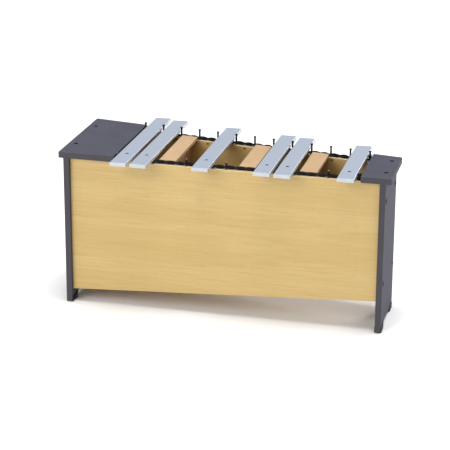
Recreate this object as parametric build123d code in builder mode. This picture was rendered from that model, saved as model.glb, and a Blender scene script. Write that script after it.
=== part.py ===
from build123d import *
import os

# Chromatic unit of a bass metallophone: a tapering resonator box on two end boards, with a row of
# twelve slots along its top. Aluminium bars lie across the box on two cords, each held by one pin
# near its front end and between two tall pins near its back end. All sizes are millimetres.
# +X runs along the row from the low notes to the high ones, +Y from front to back, +Z up. The
# origin is on the floor, under the middle of the whole instrument.

# ---------------------------------------------------------------- driving dimensions
# Row of slots
slot_count = 12
low_end_span = 310.5      # from the front pins to the rear pins, at the row's low end
high_end_span = 190.7     # and at its high end
front_line_slew = 13.4    # how far the front pin line comes forward along the row

# Bars: node name, slot, length, how far it reaches in front of its pin, depth of its undercut
bars = (
    ("bar_c_sharp_low", 1, 514.0, 102.0, 5.0),
    ("bar_d_sharp_low", 2, 498.0, 102.0, 4.6),
    ("bar_g_sharp_low", 5, 446.0, 86.0, 3.8),
    ("bar_c_sharp_high", 8, 407.0, 83.0, 3.0),
    ("bar_d_sharp_high", 9, 397.0, 86.0, 2.8),
    ("bar_g_sharp_high", 12, 350.0, 74.0, 2.0),
)
bar_width = 50.0
bar_thickness = 11.0
bar_side_clearance = 2.2  # between a bar's edge and a rear pin's head
bar_edge_radius = 1.5
bar_hole_clearance = 1.5  # round the front pin's sleeve
undercut_share = 0.46     # of the bar's length
rest_gap = 0.3            # between a bar and the top of the cords

# Filler blocks close the slots that never take a bar, and sit on the dividers
block_slots = (3, 7, 10)
block_gap = 10.0          # left between the blocks of two slots side by side
block_thickness = 10.0
block_to_cord = 2.0
block_edge_radius = 1.0

# Case
case_height = 487.0       # floor to the top of the caps
cap_thickness = 18.0
left_cap_length = 176.5
right_cap_length = 91.5
cap_corner_radius = 5.0
cap_edge_radius = 1.2
cap_overhang = 16.0       # past an end board's outer face
board_thickness = 18.0
front_lip = 13.5          # the caps and end boards stand out this far past the front panel
rear_lip = 17.0           # and past the back panel
panel_thickness = 22.0    # front and back panels, with the pins along the middle of their edges
panel_gap_low = 41.0      # floor to the panels' lower edge, at the low end
panel_gap_high = 97.0     # and at the high end
bottom_thickness = 9.0
bottom_rise = 12.0        # its underside above the panels' lower edges
groove_depth = 6.0        # it is housed in the panels and the end boards
wall_thickness = 10.0     # dividers and inner walls

# Cords, pins and their sleeves
cord_diameter = 12.0
cord_tail = 4.5           # past the last pin
cord_end_gap = 1.5        # from the cord's end to a cap's inner edge
pin_diameter = 2.5
pin_seat_depth = 22.0
sleeve_diameter = 5.6
rear_head_diameter = 7.6
rear_neck_diameter = 4.6
rear_pin_above_bar = 10.8
rear_head_height = 6.5
rear_head_crown = 1.8     # from its widest part up to its top
rear_head_cover = 2.0     # rubber over the steel pin's end
front_pin_below_bar = 0.3
front_tip_height = 3.0
front_tip_diameter = 4.6

# Screws and dowels
cap_screw_front_share = 0.26   # of the board's depth, from its front edge
cap_screw_rear_share = 0.22    # and from its rear edge
cap_screw_length = 45.0
cap_screw_diameter = 5.0
cap_screw_head = 10.5
panel_screw_length = 50.0
panel_screw_diameter = 5.0
panel_screw_head = 10.0
panel_screw_from_top = 59.0
panel_screw_from_edge = 55.0   # above the panels' lower edge
inner_screw_length = 16.0
inner_screw_diameter = 3.5
inner_screw_head = 7.0
inner_screw_drop = 7.5         # below the panel's top edge
inner_screw_slots = (2.0, 4.0, 6.0, 8.3, 10.6)
screw_cover_diameter = 16.0
screw_cover_height = 3.0
screw_cover_rim = 0.8
screw_cover_clearance = 0.1    # round its stem, in the recess of the screw's head
recess_share = 0.15            # a screw's cross recess, as shares of its head's width: depth,
recess_span_share = 0.55       # length
recess_slot_share = 0.13       # and width
block_dowel_diameter = 5.0
block_dowel_in_block = 6.0
block_dowel_in_divider = 14.0
block_dowel_inset = 32.0       # from the panels' inner faces

# Feet
arch_height = 13.0
arch_straight = 2.0            # what is left of its height below the rounded corners
glide_length = 40.0
glide_inset = 7.0
foot_past_glide = 11.0
glide_wall = 2.0
glide_edge_radius = 1.2
glide_floor = 3.0
glide_cheek = 15.0             # height of its sides above the board's lower edge

# ---------------------------------------------------------------- where things lie
slot_pitch = bar_width + rear_head_diameter + 2 * bar_side_clearance
row_length = slot_count * slot_pitch
cap_to_pin = cord_tail + cord_end_gap
overall_length = left_cap_length + right_cap_length + row_length + 2 * cap_to_pin
left_end = -overall_length / 2
right_end = overall_length / 2
row_start = left_end + left_cap_length + cap_to_pin
row_end = row_start + row_length
left_board_outer = left_end + cap_overhang
left_board_inner = left_board_outer + board_thickness
right_board_outer = right_end - cap_overhang
right_board_inner = right_board_outer - board_thickness
left_cap_inner = row_start - cap_to_pin
right_cap_inner = row_end + cap_to_pin

box_top = case_height - cap_thickness
cord_top = box_top + cord_diameter
bar_bottom = cord_top + rest_gap
bar_top = bar_bottom + bar_thickness
rear_pin_top = bar_top + rear_pin_above_bar
front_pin_top = bar_top - front_pin_below_bar
bar_hole_radius = sleeve_diameter / 2 + bar_hole_clearance
block_width = slot_pitch - block_gap
foot_length = glide_inset + glide_length + foot_past_glide
arch_radius = arch_height - arch_straight


def slot_x(slot):
    """Middle of a slot. Half numbers are the boundaries between slots."""
    return row_start + (slot - 0.5) * slot_pitch


def drift(x):
    """How far the front pin line has come forward at x, as a y value."""
    return -front_line_slew * (x - row_start) / row_length


# The row is moved along Y until the bars' ends lie evenly about the origin
bar_fronts = [drift(slot_x(slot)) - overhang for _, slot, _, overhang, _ in bars]
bar_backs = [front + bar[2] for front, bar in zip(bar_fronts, bars)]
front_start = -(min(bar_fronts) + max(bar_backs)) / 2


def front_line(x):
    """The front pins' line."""
    return front_start + drift(x)


def rear_line(x):
    """The rear pins' line."""
    taper = (low_end_span - high_end_span) * (x - row_start) / row_length
    return front_line(x) + low_end_span - taper


panel_half = panel_thickness / 2   # from a pin line to either face of its panel


def strip(x_from, x_to, front_edge, rear_edge):
    """Corners, in plan, of a piece between two x values. The edges are functions of x."""
    return [
        (x_from, front_edge(x_from)),
        (x_to, front_edge(x_to)),
        (x_to, rear_edge(x_to)),
        (x_from, rear_edge(x_from)),
    ]


def front_edge_at(offset):
    """A line that runs along the front pins, offset towards the back."""
    return lambda x: front_line(x) + offset


def rear_edge_at(offset):
    """A line that runs along the rear pins, offset towards the back."""
    return lambda x: rear_line(x) + offset


inside_edges = (front_edge_at(panel_half), rear_edge_at(-panel_half))
case_front = front_edge_at(-panel_half - front_lip)
case_rear = rear_edge_at(panel_half + rear_lip)

box_run = right_board_inner - left_board_inner
box_rise = panel_gap_high - panel_gap_low
underside = Plane(
    origin=(left_board_inner, 0, panel_gap_low),
    x_dir=(box_run, 0, box_rise),
    z_dir=(-box_rise, 0, box_run),
)
bottom_under = underside.offset(bottom_rise)
box_floor = bottom_under.offset(bottom_thickness)

filled = set(block_slots)
rear_pin_points = [(slot_x(n + 0.5), rear_line(slot_x(n + 0.5))) for n in range(slot_count + 1)]
front_pin_slots = [0.5] + [n for n in range(1, slot_count + 1) if n not in filled]
front_pin_slots.append(slot_count + 0.5)
front_pin_points = [(slot_x(n), front_line(slot_x(n))) for n in front_pin_slots]

os.makedirs("parts", exist_ok=True)

# ---------------------------------------------------------------- screws
# A countersunk wood screw with its head's top at the origin and its point down.
def countersunk_screw(length, diameter, head):
    cone = (head - diameter) / 2
    tip = diameter / 2
    with BuildPart() as screw:
        with BuildSketch(Plane.XZ):
            with BuildLine():
                Polyline(
                    (0, 0), (head / 2, 0), (diameter / 2, -cone), (diameter / 2, tip - length),
                    (0, -length), (0, 0),
                )
            make_face()
        revolve(axis=Axis.Z)
        with BuildSketch(Plane.XY):
            Rectangle(recess_span_share * head, recess_slot_share * head)
            Rectangle(recess_slot_share * head, recess_span_share * head)
        extrude(amount=-recess_share * head, mode=Mode.SUBTRACT)
    return screw.part


def board_screw_points(x):
    """The two cap screws over an end board whose middle is at x."""
    front, rear = case_front(x), case_rear(x)
    depth = rear - front
    return [
        (x, front + cap_screw_front_share * depth, case_height),
        (x, rear - cap_screw_rear_share * depth, case_height),
    ]


left_screws = board_screw_points((left_board_outer + left_board_inner) / 2)
right_screws = board_screw_points((right_board_outer + right_board_inner) / 2)

with BuildPart() as cap_screws:
    with Locations(*left_screws, *right_screws):
        add(countersunk_screw(cap_screw_length, cap_screw_diameter, cap_screw_head))
cap_screws.part.label = "cap_screws"
export_step(cap_screws.part, "parts/cap_screws.step")

# The end boards are screwed to the panels' ends: one screw near the top and one near the lower
# edge of each panel, through each board.
bite = (panel_screw_length - board_thickness) / 2
panel_screw_planes = []
for outer, inward, gap in (
    (left_board_outer, 1, panel_gap_low),
    (right_board_outer, -1, panel_gap_high),
):
    bite_x = outer + inward * (board_thickness + bite)
    for line in (front_line, rear_line):
        for z in (box_top - panel_screw_from_top, gap + panel_screw_from_edge):
            panel_screw_planes.append(Plane(origin=(outer, line(bite_x), z), z_dir=(-inward, 0, 0)))

with BuildPart() as panel_screws:
    with Locations(*panel_screw_planes):
        add(countersunk_screw(panel_screw_length, panel_screw_diameter, panel_screw_head))
panel_screws.part.label = "panel_screws"
export_step(panel_screws.part, "parts/panel_screws.step")

# A domed cover is pressed over each head, with a stem in the head's recess.
stem_radius = recess_slot_share * panel_screw_head / 2 - screw_cover_clearance
stem_length = recess_share * panel_screw_head - screw_cover_clearance
with BuildPart() as screw_cover:
    with BuildSketch(Plane.XZ):
        with BuildLine():
            Polyline(
                (0, screw_cover_height), (0, -stem_length), (stem_radius, -stem_length),
                (stem_radius, 0), (screw_cover_diameter / 2, 0),
                (screw_cover_diameter / 2, screw_cover_rim),
            )
            Spline(
                (screw_cover_diameter / 2, screw_cover_rim), (0, screw_cover_height),
                tangents=((0, 1), (-1, 0)),
            )
        make_face()
    revolve(axis=Axis.Z)

with BuildPart() as screw_covers:
    with Locations(*panel_screw_planes):
        add(screw_cover.part)
screw_covers.part.label = "screw_covers"
export_step(screw_covers.part, "parts/screw_covers.step")

# Small screws stand in a row just below the back panel's top edge, square to its inner face.
rear_slope = (high_end_span - low_end_span - front_line_slew) / row_length
inner_screw_planes = []
for x in [slot_x(slot) for slot in inner_screw_slots]:
    inner_screw_planes.append(
        Plane(
            origin=(x, rear_line(x) - panel_half, box_top - inner_screw_drop),
            z_dir=(rear_slope, -1, 0),
        )
    )

with BuildPart() as inner_screws:
    with Locations(*inner_screw_planes):
        add(countersunk_screw(inner_screw_length, inner_screw_diameter, inner_screw_head))
inner_screws.part.label = "inner_screws"
export_step(inner_screws.part, "parts/inner_screws.step")

# ---------------------------------------------------------------- dowels
# Two small dowels stand in each divider's top edge and hold the filler block on it.
block_dowel_points = []
for slot in block_slots:
    x = slot_x(slot)
    block_dowel_points.append((x, front_line(x) + panel_half + block_dowel_inset))
    block_dowel_points.append((x, rear_line(x) - panel_half - block_dowel_inset))

with BuildPart() as block_dowels:
    with BuildSketch(Plane.XY.offset(box_top - block_dowel_in_divider)):
        with Locations(*block_dowel_points):
            Circle(block_dowel_diameter / 2)
    extrude(amount=block_dowel_in_divider + block_dowel_in_block)
block_dowels.part.label = "block_dowels"
export_step(block_dowels.part, "parts/block_dowels.step")

# ---------------------------------------------------------------- bottom board and panels
# The bottom board slopes with the panels' lower edges, in grooves on all four sides.
with BuildPart() as bottom_panel:
    with BuildSketch():
        Polygon(
            *strip(
                left_board_inner - groove_depth, right_board_inner + groove_depth,
                front_edge_at(panel_half - groove_depth), rear_edge_at(groove_depth - panel_half),
            ),
            align=None,
        )
    extrude(amount=box_top)
    split(bisect_by=bottom_under, keep=Keep.TOP)
    split(bisect_by=box_floor, keep=Keep.BOTTOM)
bottom_panel.part.label = "bottom_panel"
export_step(bottom_panel.part, "parts/bottom_panel.step")


def panel(edge_at, pin_points):
    """A board with its pins' holes along its top edge and the bottom board's groove."""
    with BuildPart() as piece:
        with BuildSketch():
            Polygon(
                *strip(
                    left_board_inner, right_board_inner, edge_at(-panel_half), edge_at(panel_half)
                ),
                align=None,
            )
        extrude(amount=box_top)
        split(bisect_by=underside, keep=Keep.TOP)
        with Locations(*[(x, y, box_top) for x, y in pin_points]):
            Hole(pin_diameter / 2, pin_seat_depth)
        with Locations(*panel_screw_planes):
            Hole(panel_screw_diameter / 2, panel_screw_length)
        add(bottom_panel.part, mode=Mode.SUBTRACT)
    return piece


front_panel = panel(front_edge_at, front_pin_points)
front_panel.part.label = "front_panel"
export_step(front_panel.part, "parts/front_panel.step")

back_panel = panel(rear_edge_at, rear_pin_points)
with back_panel:
    with Locations(*inner_screw_planes):
        CounterSinkHole(
            inner_screw_diameter / 2, inner_screw_head / 2, inner_screw_length,
            counter_sink_angle=90,
        )
back_panel.part.label = "back_panel"
export_step(back_panel.part, "parts/back_panel.step")

# ---------------------------------------------------------------- dividers and inner walls
# Upright boards between the panels, from the bottom board to the level of the panels' tops.
def upright(x_from):
    with BuildPart() as piece:
        with BuildSketch():
            Polygon(*strip(x_from, x_from + wall_thickness, *inside_edges), align=None)
        extrude(amount=box_top)
        split(bisect_by=box_floor, keep=Keep.TOP)
        add(block_dowels.part, mode=Mode.SUBTRACT)
    return piece


for number, slot in enumerate(block_slots, start=1):
    divider = upright(slot_x(slot) - wall_thickness / 2)
    divider.part.label = f"divider_{number}"
    export_step(divider.part, f"parts/divider_{number}.step")

left_inner_wall = upright(left_cap_inner - wall_thickness)
left_inner_wall.part.label = "left_inner_wall"
export_step(left_inner_wall.part, "parts/left_inner_wall.step")

right_inner_wall = upright(right_cap_inner)
right_inner_wall.part.label = "right_inner_wall"
export_step(right_inner_wall.part, "parts/right_inner_wall.step")

# ---------------------------------------------------------------- filler blocks
block_end = cord_diameter / 2 + block_to_cord
for number, slot in enumerate(block_slots, start=1):
    with BuildPart() as filler_block:
        with BuildSketch(Plane.XY.offset(box_top)):
            Polygon(
                *strip(
                    slot_x(slot) - block_width / 2, slot_x(slot) + block_width / 2,
                    front_edge_at(block_end), rear_edge_at(-block_end),
                ),
                align=None,
            )
        extrude(amount=block_thickness)
        fillet(filler_block.faces().sort_by(Axis.Z)[-1].edges(), block_edge_radius)
        add(block_dowels.part, mode=Mode.SUBTRACT)
    filler_block.part.label = f"filler_block_{number}"
    export_step(filler_block.part, f"parts/filler_block_{number}.step")

# ---------------------------------------------------------------- end boards
# The boards reach from the glides to the caps. A shallow arch leaves a foot at each end.
def end_board(x_from, screw_planes):
    middle_x = x_from + board_thickness / 2
    arch_front = case_front(middle_x) + foot_length
    arch_rear = case_rear(middle_x) - foot_length
    with BuildPart() as piece:
        with BuildSketch(Plane.XY.offset(glide_floor)):
            Polygon(*strip(x_from, x_from + board_thickness, case_front, case_rear), align=None)
        extrude(amount=box_top - glide_floor)
        with BuildSketch(Plane.YZ.offset(x_from)) as arch:
            with Locations(((arch_front + arch_rear) / 2, glide_floor)):
                Rectangle(arch_rear - arch_front, 2 * arch_height)
            fillet(arch.vertices(), arch_radius)
        extrude(amount=board_thickness, mode=Mode.SUBTRACT)
        add(bottom_panel.part, mode=Mode.SUBTRACT)
        with Locations(*board_screw_points(middle_x)):
            Hole(cap_screw_diameter / 2, cap_screw_length)
        with Locations(*screw_planes):
            CounterSinkHole(
                panel_screw_diameter / 2, panel_screw_head / 2, board_thickness,
                counter_sink_angle=90,
            )
    return piece


screws_per_board = len(panel_screw_planes) // 2
left_end_board = end_board(left_board_outer, panel_screw_planes[:screws_per_board])
left_end_board.part.label = "left_end_board"
export_step(left_end_board.part, "parts/left_end_board.step")

right_end_board = end_board(right_board_inner, panel_screw_planes[screws_per_board:])
right_end_board.part.label = "right_end_board"
export_step(right_end_board.part, "parts/right_end_board.step")

# ---------------------------------------------------------------- caps
def cap(x_from, x_to, screw_points):
    with BuildPart() as piece:
        with BuildSketch(Plane.XY.offset(box_top)):
            Polygon(*strip(x_from, x_to, case_front, case_rear), align=None)
        extrude(amount=cap_thickness)
        fillet(piece.edges().filter_by(Axis.Z), cap_corner_radius)
        fillet(piece.faces().sort_by(Axis.Z)[-1].edges(), cap_edge_radius)
        with Locations(*screw_points):
            CounterSinkHole(
                cap_screw_diameter / 2, cap_screw_head / 2, cap_thickness, counter_sink_angle=90
            )
    return piece


left_top_cap = cap(left_end, left_cap_inner, left_screws)
left_top_cap.part.label = "left_top_cap"
export_step(left_top_cap.part, "parts/left_top_cap.step")

right_top_cap = cap(right_cap_inner, right_end, right_screws)
right_top_cap.part.label = "right_top_cap"
export_step(right_top_cap.part, "parts/right_top_cap.step")

# ---------------------------------------------------------------- foot glides
# U-shaped rubber glides, pushed up over each end board's two feet.
def foot_glide(x_from, y_from):
    """x_from is the board's lower x face, y_from the glide's front end."""
    outer = board_thickness + 2 * glide_wall
    with BuildPart() as piece:
        section = Plane(origin=(x_from - glide_wall, y_from, 0), x_dir=(1, 0, 0), z_dir=(0, -1, 0))
        with BuildSketch(section):
            Rectangle(outer, glide_floor + glide_cheek, align=Align.MIN)
            with Locations((glide_wall, glide_floor)):
                Rectangle(board_thickness, glide_cheek, align=Align.MIN, mode=Mode.SUBTRACT)
        extrude(amount=-glide_length)
        corners = piece.edges().filter_by(Axis.Y).group_by(Axis.Z)[0]
        fillet(corners, glide_edge_radius)
    return piece


for side, x_from in (("left", left_board_outer), ("right", right_board_inner)):
    middle_x = x_from + board_thickness / 2
    for end, y_from in (
        ("front", case_front(middle_x) + glide_inset),
        ("rear", case_rear(middle_x) - glide_inset - glide_length),
    ):
        glide = foot_glide(x_from, y_from)
        glide.part.label = f"{side}_{end}_glide"
        export_step(glide.part, f"parts/{side}_{end}_glide.step")

# ---------------------------------------------------------------- pins
# Steel pins driven into the panels' top edges. Each rear pin is closed in a rubber sleeve with a
# flared head, which keeps two neighbouring bars apart. A front pin's rounded tip shows above its
# plain sleeve.
sleeve_radius = sleeve_diameter / 2
rear_neck_z = rear_pin_top - rear_head_height
rear_head_z = rear_pin_top - rear_head_crown
rear_pin_end = rear_pin_top - rear_head_cover

with BuildPart() as rear_pins:
    with BuildSketch(Plane.XY.offset(box_top - pin_seat_depth)):
        with Locations(*rear_pin_points):
            Circle(pin_diameter / 2)
    extrude(amount=rear_pin_end - box_top + pin_seat_depth)
rear_pins.part.label = "rear_pins"
export_step(rear_pins.part, "parts/rear_pins.step")

with BuildPart() as rear_sleeve:
    with BuildSketch(Plane.XZ):
        with BuildLine():
            Polyline(
                (pin_diameter / 2, rear_pin_end), (pin_diameter / 2, box_top),
                (sleeve_radius, box_top), (sleeve_radius, cord_top),
                (rear_neck_diameter / 2, rear_neck_z),
            )
            Spline(
                (rear_neck_diameter / 2, rear_neck_z),
                (rear_head_diameter / 2, rear_head_z),
                tangents=((0, 1), (0, 1)),
            )
            Spline(
                (rear_head_diameter / 2, rear_head_z),
                (0, rear_pin_top),
                tangents=((0, 1), (-1, 0)),
            )
            Polyline((0, rear_pin_top), (0, rear_pin_end), (pin_diameter / 2, rear_pin_end))
        make_face()
    revolve(axis=Axis.Z)

with BuildPart() as rear_pin_sleeves:
    with Locations(*rear_pin_points):
        add(rear_sleeve.part)
rear_pin_sleeves.part.label = "rear_pin_sleeves"
export_step(rear_pin_sleeves.part, "parts/rear_pin_sleeves.step")

front_sleeve_top = front_pin_top - front_tip_height

with BuildPart() as front_pin:
    with BuildSketch(Plane.XZ):
        with BuildLine():
            Polyline(
                (0, front_pin_top), (0, box_top - pin_seat_depth),
                (pin_diameter / 2, box_top - pin_seat_depth), (pin_diameter / 2, front_sleeve_top),
                (front_tip_diameter / 2, front_sleeve_top),
            )
            Spline(
                (front_tip_diameter / 2, front_sleeve_top), (0, front_pin_top),
                tangents=((0, 1), (-1, 0)),
            )
        make_face()
    revolve(axis=Axis.Z)

with BuildPart() as front_pins:
    with Locations(*front_pin_points):
        add(front_pin.part)
front_pins.part.label = "front_pins"
export_step(front_pins.part, "parts/front_pins.step")

with BuildPart() as front_pin_sleeves:
    with BuildSketch(Plane.XY.offset(box_top)):
        with Locations(*front_pin_points):
            Circle(sleeve_radius)
            Circle(pin_diameter / 2, mode=Mode.SUBTRACT)
    extrude(amount=front_sleeve_top - box_top)
front_pin_sleeves.part.label = "front_pin_sleeves"
export_step(front_pin_sleeves.part, "parts/front_pin_sleeves.step")

# ---------------------------------------------------------------- support cords
# Each cord lies on its panel's top edge from the first pin to the last. The pins' sleeves pass
# through it.
def support_cord(line, pin_points):
    start = Vector(row_start, line(row_start), box_top + cord_diameter / 2)
    end = Vector(row_end, line(row_end), box_top + cord_diameter / 2)
    along = (end - start).normalized()
    with BuildPart() as piece:
        with BuildSketch(Plane(origin=start - along * cord_tail, z_dir=along)):
            Circle(cord_diameter / 2)
        extrude(amount=(end - start).length + 2 * cord_tail)
        with Locations(*[(x, y, cord_top) for x, y in pin_points]):
            Hole(sleeve_radius, cord_diameter)
    return piece


front_support_cord = support_cord(front_line, front_pin_points)
front_support_cord.part.label = "front_support_cord"
export_step(front_support_cord.part, "parts/front_support_cord.step")

rear_support_cord = support_cord(rear_line, rear_pin_points)
rear_support_cord.part.label = "rear_support_cord"
export_step(rear_support_cord.part, "parts/rear_support_cord.step")

# ---------------------------------------------------------------- bars
# Flat aluminium bars with softened edges. Each is tuned by a long shallow undercut in its middle
# and has one hole, which drops over the front pin.
for name, slot, length, overhang, undercut in bars:
    x = slot_x(slot)
    front = front_line(x) - overhang
    middle = front + length / 2
    cut_length = undercut_share * length
    with BuildPart() as bar:
        with BuildSketch(Plane.XY.offset(bar_bottom)):
            with Locations((x, middle)):
                Rectangle(bar_width, length)
        extrude(amount=bar_thickness)
        with BuildSketch(Plane.YZ.offset(x - bar_width / 2)):
            with BuildLine():
                ThreePointArc(
                    (middle - cut_length / 2, bar_bottom),
                    (middle, bar_bottom + undercut),
                    (middle + cut_length / 2, bar_bottom),
                )
                Line((middle + cut_length / 2, bar_bottom), (middle - cut_length / 2, bar_bottom))
            make_face()
        extrude(amount=bar_width, mode=Mode.SUBTRACT)
        fillet(bar.faces().sort_by(Axis.Z)[-1].edges(), bar_edge_radius)
        with Locations((x, front + overhang, bar_top)):
            Hole(bar_hole_radius, bar_thickness)
    bar.part.label = name
    export_step(bar.part, f"parts/{name}.step")
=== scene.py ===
import math

import bmesh
import bpy
from mathutils import Matrix, Vector


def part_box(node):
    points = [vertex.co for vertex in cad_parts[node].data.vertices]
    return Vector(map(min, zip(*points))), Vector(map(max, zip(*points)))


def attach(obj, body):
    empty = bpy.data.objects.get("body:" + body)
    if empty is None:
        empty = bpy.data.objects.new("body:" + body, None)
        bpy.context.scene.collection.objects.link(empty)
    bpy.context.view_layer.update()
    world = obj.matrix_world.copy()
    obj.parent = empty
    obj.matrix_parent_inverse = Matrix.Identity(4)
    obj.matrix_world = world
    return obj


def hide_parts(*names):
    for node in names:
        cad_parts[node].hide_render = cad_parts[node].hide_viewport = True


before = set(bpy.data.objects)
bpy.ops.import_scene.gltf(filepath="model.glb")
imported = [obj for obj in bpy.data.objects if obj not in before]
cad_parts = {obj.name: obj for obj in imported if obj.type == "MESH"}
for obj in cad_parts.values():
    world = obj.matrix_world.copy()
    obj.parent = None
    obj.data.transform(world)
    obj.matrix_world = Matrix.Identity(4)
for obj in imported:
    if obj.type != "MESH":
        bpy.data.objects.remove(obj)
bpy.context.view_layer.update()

# ---------------------------------------------------------------- camera
# A long lens, standing in front of the high end of the row and well above it, looks down along
# the case. It is a little off level, as a hand-set tripod is.
eye = Vector((1.1483, -4.9119, 1.9915))
swing = math.radians(13.366)
dip = math.radians(19.177)
tilt = math.radians(0.375)

ahead = Vector((-math.sin(swing) * math.cos(dip), math.cos(swing) * math.cos(dip), -math.sin(dip)))
level_right = Vector((math.cos(swing), math.sin(swing), 0))
level_up = level_right.cross(ahead)
right = math.cos(tilt) * level_right + math.sin(tilt) * level_up
up = math.cos(tilt) * level_up - math.sin(tilt) * level_right

lens = bpy.data.cameras.new("camera")
lens.lens = 137.1
lens.sensor_width = 36
lens.shift_x = -0.008
camera = bpy.data.objects.new("camera", lens)
camera.matrix_world = Matrix.Translation(eye) @ Matrix((right, up, -ahead)).transposed().to_4x4()
bpy.context.collection.objects.link(camera)
bpy.context.scene.camera = camera

# ---------------------------------------------------------------- studio
# A white paper floor under an even white sky. A wide lamp far above the front whitens the floor
# evenly, and soft panels of light stand at the high end, over the front and behind.


def feed(tree, socket, value):
    """Links a socket to its source, or sets its value."""
    if isinstance(value, bpy.types.NodeSocket):
        tree.links.new(value, socket)
    else:
        socket.default_value = value


def add(tree, kind, **settings):
    """Adds a node. A capitalised name sets or feeds an input, and any other a setting."""
    made = tree.nodes.new(kind)
    for name, value in settings.items():
        if name[0].islower():
            setattr(made, name, value)
    for name, value in settings.items():
        if name[0].isupper():
            found = [one for one in made.inputs if one.identifier == name]
            found += [one for one in made.inputs if one.name == name.replace("_", " ")]
            feed(tree, found[0], value)
    return made


def noise(tree, place, scale, detail, rough=0.5):
    """Even noise, 0 to 1."""
    return add(
        tree, "ShaderNodeTexNoise", Vector=place, Scale=scale, Detail=detail, Roughness=rough
    ).outputs[0]


def paint(name):
    """A new material: its node tree, its shader and its object coordinates."""
    material = bpy.data.materials.new(name)
    material.use_nodes = True
    tree = material.node_tree
    shader = tree.nodes["Principled BSDF"]
    place = tree.nodes.new("ShaderNodeTexCoord").outputs["Object"]
    return material, tree, shader, place


def dress(tree, shader, height, strength, depth, **looks):
    """Gives the shader a bump, from a height, a strength and a depth, and the looks named."""
    relief = add(tree, "ShaderNodeBump", Strength=strength, Distance=depth, Height=height)
    feed(tree, shader.inputs["Normal"], relief.outputs[0])
    for name, value in looks.items():
        feed(tree, shader.inputs[name.replace("_", " ")], value)


white_paper, tree, shader, place = paint("white_paper")
dress(
    tree, shader, noise(tree, place, scale=160, detail=3), strength=0.1, depth=0.001,
    Base_Color=(0.93, 0.93, 0.935, 1), Roughness=0.9, Specular_IOR_Level=0.1,
)

floor_half = 12
corner_signs = ((-1, -1), (1, -1), (1, 1), (-1, 1))
floor_corners = [(x * floor_half, y * floor_half, 0) for x, y in corner_signs]
floor_mesh = bpy.data.meshes.new("floor")
floor_mesh.from_pydata(floor_corners, [], [(0, 1, 2, 3)])
floor_mesh.materials.append(white_paper)
floor = bpy.data.objects.new("floor", floor_mesh)
bpy.context.collection.objects.link(floor)

sky = bpy.data.worlds.new("sky")
sky.use_nodes = True
sky.node_tree.nodes["Background"].inputs["Color"].default_value = (1, 1, 1, 1)
sky.node_tree.nodes["Background"].inputs["Strength"].default_value = 0.46
bpy.context.scene.world = sky
bpy.context.scene.view_settings.view_transform = "Standard"


def light(name, kind, power, stand, toward):
    """A lamp of a kind, which stands at a place and shines in a direction."""
    lamp = bpy.data.lights.new(name, kind)
    lamp.energy = power
    holder = bpy.data.objects.new(name, lamp)
    aim = toward.to_track_quat("-Z", "Y").to_matrix().to_4x4()
    holder.matrix_world = Matrix.Translation(stand) @ aim
    bpy.context.collection.objects.link(holder)
    return lamp


case_middle = Vector((0, 0, 0.3))
for name, stand, power, width in (
    ("high_end_light", (4.4, -0.6, 2.2), 5, 2.4),
    ("front_light", (-2.0, -4.1, 2.9), 108, 2.8),
    ("rear_light", (2.2, 4.0, 2.4), 92, 1.4),
):
    lamp = light(name, "AREA", power, stand, toward=case_middle - Vector(stand))
    lamp.size = width
far_lamp = light("far_lamp", "SUN", 2.05, (0, 0, 0), toward=Vector((-0.06, 0.05, -1)))
far_lamp.angle = math.radians(28)

# ---------------------------------------------------------------- end boards
# Two upright boards of dark grey laminate carry the case. Their sawn edges are eased by hand, their
# front and back edges are painted a darker, browner grey as painted shade, and each stands on two
# feet either side of a shallow arch.
board_ease = 0.0009
shortest_eased = 0.0012
sharp_angle = math.radians(30)
weld_gap = 2e-6


def tint(red, green, blue):
    """A colour as a screen shows it, 0 to 255, made linear."""
    shares = [part / 255 for part in (red, green, blue)]
    linear = [
        part / 12.92 if part <= 0.04045 else ((part + 0.055) / 1.055) ** 2.4 for part in shares
    ]
    return (*linear, 1)


def mixed(tree, share, one, other):
    """Two colours mixed. At share 0 it is the first."""
    return add(
        tree, "ShaderNodeMix", data_type="RGBA", Factor_Float=share, A_Color=one, B_Color=other
    ).outputs[2]


def reckon(tree, operation, one, other=0.0, third=0.0):
    """The result of a Math node."""
    return add(
        tree, "ShaderNodeMath", operation=operation, Value=one, Value_001=other, Value_002=third
    ).outputs[0]


def ranged(tree, value, given, wanted):
    """The value, with its given range stretched over the wanted one and held within it."""
    return add(
        tree, "ShaderNodeMapRange", Value=value,
        From_Min=given[0], From_Max=given[1], To_Min=wanted[0], To_Max=wanted[1],
    ).outputs[0]


def slope(tree, axis):
    """How squarely the surface faces along an axis, either way, 0 to 1."""
    facing = add(tree, "ShaderNodeTexCoord").outputs["Normal"]
    part = add(tree, "ShaderNodeSeparateXYZ", Vector=facing).outputs[axis]
    return reckon(tree, "ABSOLUTE", part)


def cleaned(mesh, gap, flat_angle):
    """A mesh's shape, with its doubles merged and its flat faces made whole."""
    shape = bmesh.new()
    shape.from_mesh(mesh)
    bmesh.ops.remove_doubles(shape, verts=shape.verts, dist=gap)
    bmesh.ops.dissolve_limit(
        shape, angle_limit=math.radians(flat_angle), verts=shape.verts, edges=shape.edges
    )
    return shape


def round_edges(piece, shape, width, steps):
    """Puts a shape in a piece, and rounds the edges that carry a bevel weight."""
    for face in shape.faces:
        face.smooth = True
    shape.to_mesh(piece.data)
    shape.free()
    bevel = piece.modifiers.new("rounded_edges", "BEVEL")
    bevel.limit_method = "WEIGHT"
    bevel.width = width
    bevel.segments = steps
    bevel.harden_normals = True
    bevel.use_clamp_overlap = False


def fit(piece, node, body, material):
    """The piece takes its material, rides on its body and stands for the CAD piece."""
    piece.data.materials.clear()
    piece.data.materials.append(material)
    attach(piece, body)
    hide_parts(node)


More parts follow.
